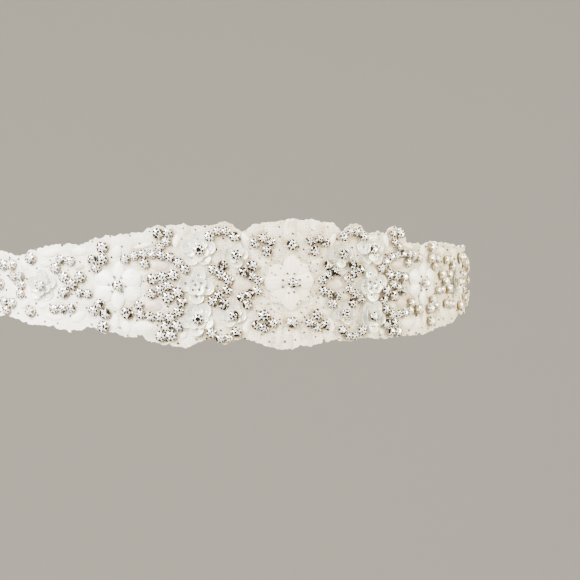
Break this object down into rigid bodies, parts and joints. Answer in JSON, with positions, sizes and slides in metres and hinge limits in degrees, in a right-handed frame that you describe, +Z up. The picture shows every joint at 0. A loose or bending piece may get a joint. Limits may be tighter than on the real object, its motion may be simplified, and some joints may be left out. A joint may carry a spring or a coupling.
{
  "type": "bridal sash",
  "caption": "Worn bridal sash: satin ribbon belt closed at the back by hooks and bars, with a scalloped net applique of flowers, sequins and rhinestones round its front.",
  "frame": {"origin": "centre of the wearer's waist, at the middle of the sash's height", "axes": "+X to the wearer's left, +Y to the wearer's back, +Z up; the sash's front faces -Y"},
  "size_m": [0.2608, 0.1925, 0.0574],
  "materials": {
    "satin": "ivory double-faced satin",
    "net": "ivory net with raised satin leaves",
    "organza": "off-white organza petals, soft sheen",
    "sequin": "translucent white cupped sequins",
    "rhinestone": "clear foiled cut glass",
    "claw_cup": "silver-plated brass",
    "seed_bead": "silver-lined smoky glass seed beads",
    "thread": "ivory sewing thread",
    "nickel": "nickel-plated wire"
  },
  "bodies": {
    "root": {"ribbon": "satin", "net_applique": "net", "centre_flower": "organza", "upper_bud_left": "sequin", "upper_bud_right": "sequin", "lower_bud_left": "sequin", "lower_bud_right": "sequin", "upper_sequin_flower_left": "sequin", "upper_sequin_flower_right": "sequin", "middle_sequin_flower_left": "sequin", "middle_sequin_flower_right": "sequin", "lower_sequin_flower_left": "sequin", "lower_sequin_flower_right": "sequin", "lace_flower_left": "organza", "lace_flower_right": "organza", "side_flower_left": "sequin", "side_flower_right": "sequin", "end_flower_left": "organza", "end_flower_right": "organza", "hook_upper": "nickel", "hook_lower": "nickel", "bar_upper": "nickel", "bar_lower": "nickel"}
  },
  "joints": []
}
